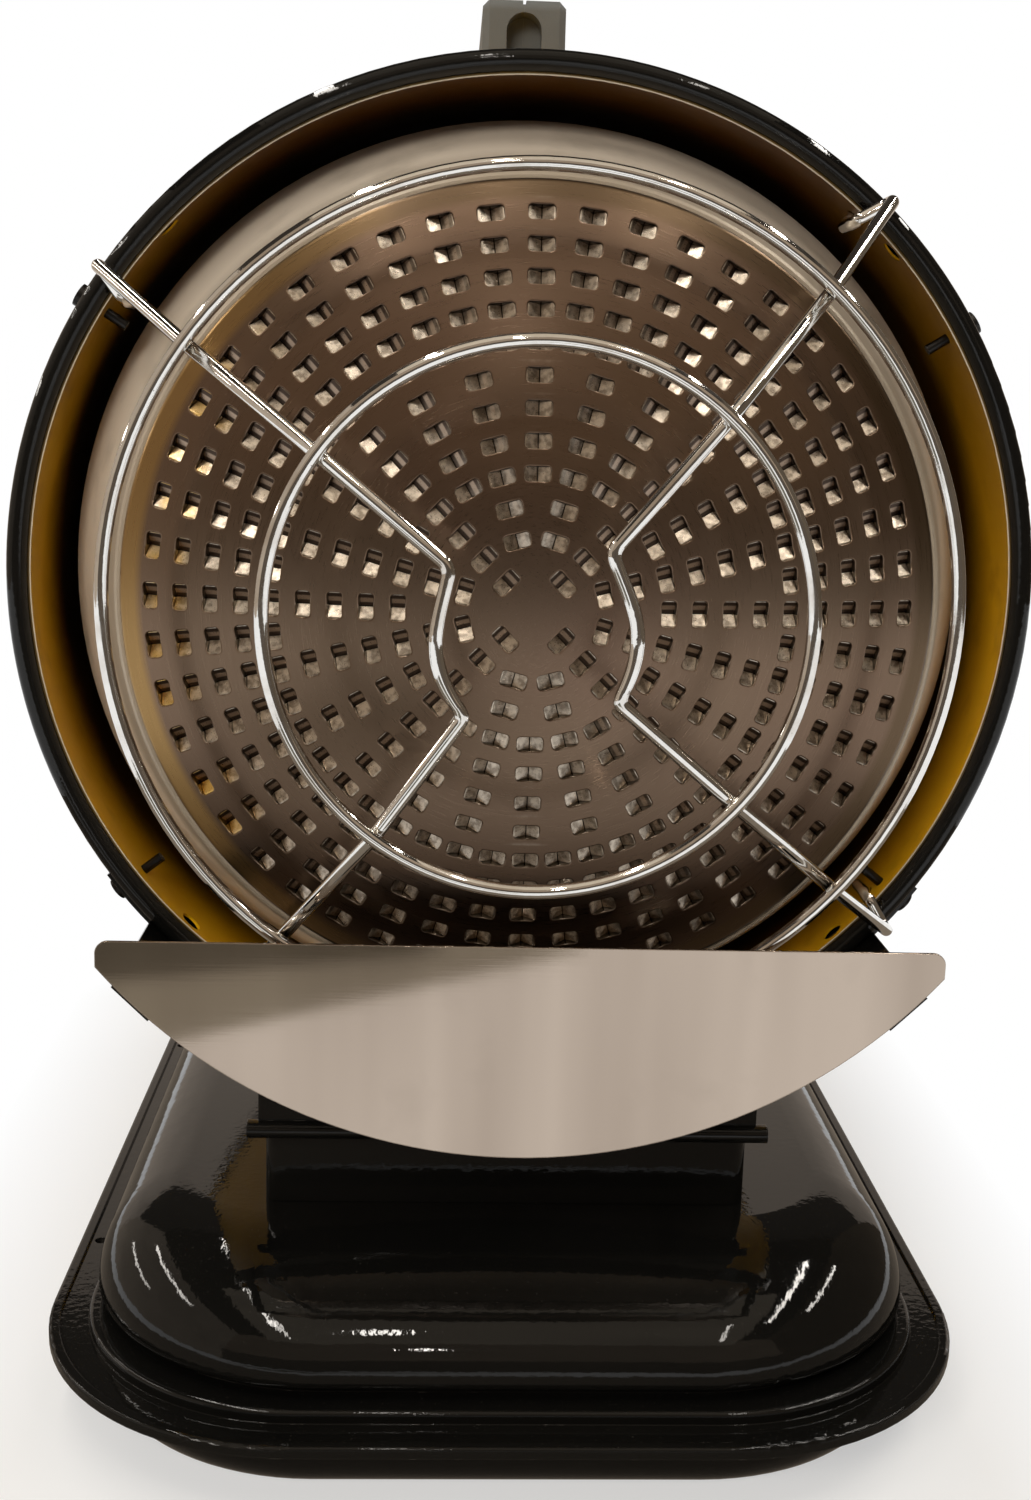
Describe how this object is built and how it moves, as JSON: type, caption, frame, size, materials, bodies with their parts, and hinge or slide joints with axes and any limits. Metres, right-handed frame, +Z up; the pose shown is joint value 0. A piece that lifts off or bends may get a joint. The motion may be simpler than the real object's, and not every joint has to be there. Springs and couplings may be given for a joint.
{
  "type": "oil-fired radiant heater",
  "caption": "Portable radiant space heater: a fan-fed burner drum with a domed perforated emitter and wire guard, tilting on a pedestal over a pressed fuel tank.",
  "frame": {"origin": "centre of the flat bottom of the fuel tank, on the floor", "axes": "+Z up, -Y the way the emitter faces, +X to the right as seen from the front"},
  "size_m": [0.4, 0.5995, 0.595],
  "materials": {
    "black_enamel": "gloss enamel",
    "drum_paint": "satin amber paint",
    "disc_steel": "heat-tinted stainless",
    "emitter_steel": "satin stainless",
    "chamber_steel": "dull",
    "deflector_steel": "brushed stainless",
    "guard_chrome": "bright plated wire",
    "handle_plastic": "matte",
    "dark_fasteners": "black oxide",
    "zinc_steel": "zinc plated",
    "control_plastic": "matte",
    "panel_paint": "satin",
    "gasket_rubber": "matte",
    "brass": "dull",
    "ceramic": "glazed",
    "fan_aluminium": "pressed",
    "motor_paint": "satin",
    "board": "satin"
  },
  "bodies": {
    "base": {"tank_upper_shell": "black_enamel", "tank_lower_shell": "black_enamel", "drain_plug": "gasket_rubber", "filler_neck": "zinc_steel", "filler_strainer": "brass", "fuel_pickup_pipe": "zinc_steel", "pickup_filter": "brass", "pedestal_box": "black_enamel", "pedestal_lid": "black_enamel", "pedestal_screws": "zinc_steel", "tilt_bolts": "zinc_steel", "fuel_pump": "motor_paint", "fuel_line_lower": "brass", "ignition_transformer": "motor_paint", "control_panel": "panel_paint", "control_board": "board", "switch_housing": "control_plastic", "thermostat_body": "board", "power_inlet": "control_plastic"},
    "drum": {"saddle_bracket": "black_enamel", "front_ring": "black_enamel", "rear_cover": "black_enamel", "deflector_arm_left": "black_enamel", "deflector_arm_right": "black_enamel", "drum_shell": "drum_paint", "radiant_disc": "disc_steel", "emitter_ring": "emitter_steel", "combustion_chamber": "chamber_steel", "chamber_brackets": "chamber_steel", "burner_tube": "chamber_steel", "flame_disc": "chamber_steel", "deflector_plate": "deflector_steel", "guard_outer_ring": "guard_chrome", "guard_inner_ring": "guard_chrome", "guard_left_wire": "guard_chrome", "guard_right_wire": "guard_chrome", "handle_left_half": "handle_plastic", "handle_right_half": "handle_plastic", "rim_screws": "dark_fasteners", "rear_cover_screws": "dark_fasteners", "motor_bracket_screws": "dark_fasteners", "saddle_screws": "zinc_steel", "handle_screws": "zinc_steel", "burner_carrier": "zinc_steel", "motor_bracket": "zinc_steel", "nozzle_holder": "zinc_steel", "flame_sensor": "control_plastic", "oil_nozzle": "brass", "fuel_line_upper": "brass", "electrode_left": "ceramic", "electrode_right": "ceramic", "fan_motor": "motor_paint"},
    "fuel_cap": {"fuel_cap": "control_plastic", "cap_gasket": "gasket_rubber"},
    "power_rocker": {"power_rocker": "control_plastic"},
    "thermostat_knob": {"thermostat_knob": "control_plastic"},
    "fan_rotor": {"fan_wheel": "fan_aluminium", "motor_shaft": "zinc_steel"}
  },
  "joints": [
    {"name": "drum_tilt", "type": "hinge", "parent": "base", "child": "drum", "pos_m": [0, -0.05, 0.104], "axis": [-1, 0, 0], "range_deg": [0, 10]},
    {"name": "fan_spin", "type": "hinge", "parent": "drum", "child": "fan_rotor", "pos_m": [0, 0.157, 0.342], "axis": [0, 1, 0], "continuous": true},
    {"name": "fuel_cap_turn", "type": "hinge", "parent": "base", "child": "fuel_cap", "pos_m": [0.1, 0.15, 0.096], "axis": [0, 0, 1], "range_deg": [0, 90]},
    {"name": "thermostat_turn", "type": "hinge", "parent": "base", "child": "thermostat_knob", "pos_m": [0.008, 0.087, 0.099], "axis": [0, -1, 0], "range_deg": [0, 270]},
    {"name": "power_rocker_tip", "type": "hinge", "parent": "base", "child": "power_rocker", "pos_m": [-0.042, 0.086, 0.099], "axis": [1, 0, 0], "range_deg": [-8, 8]}
  ]
}
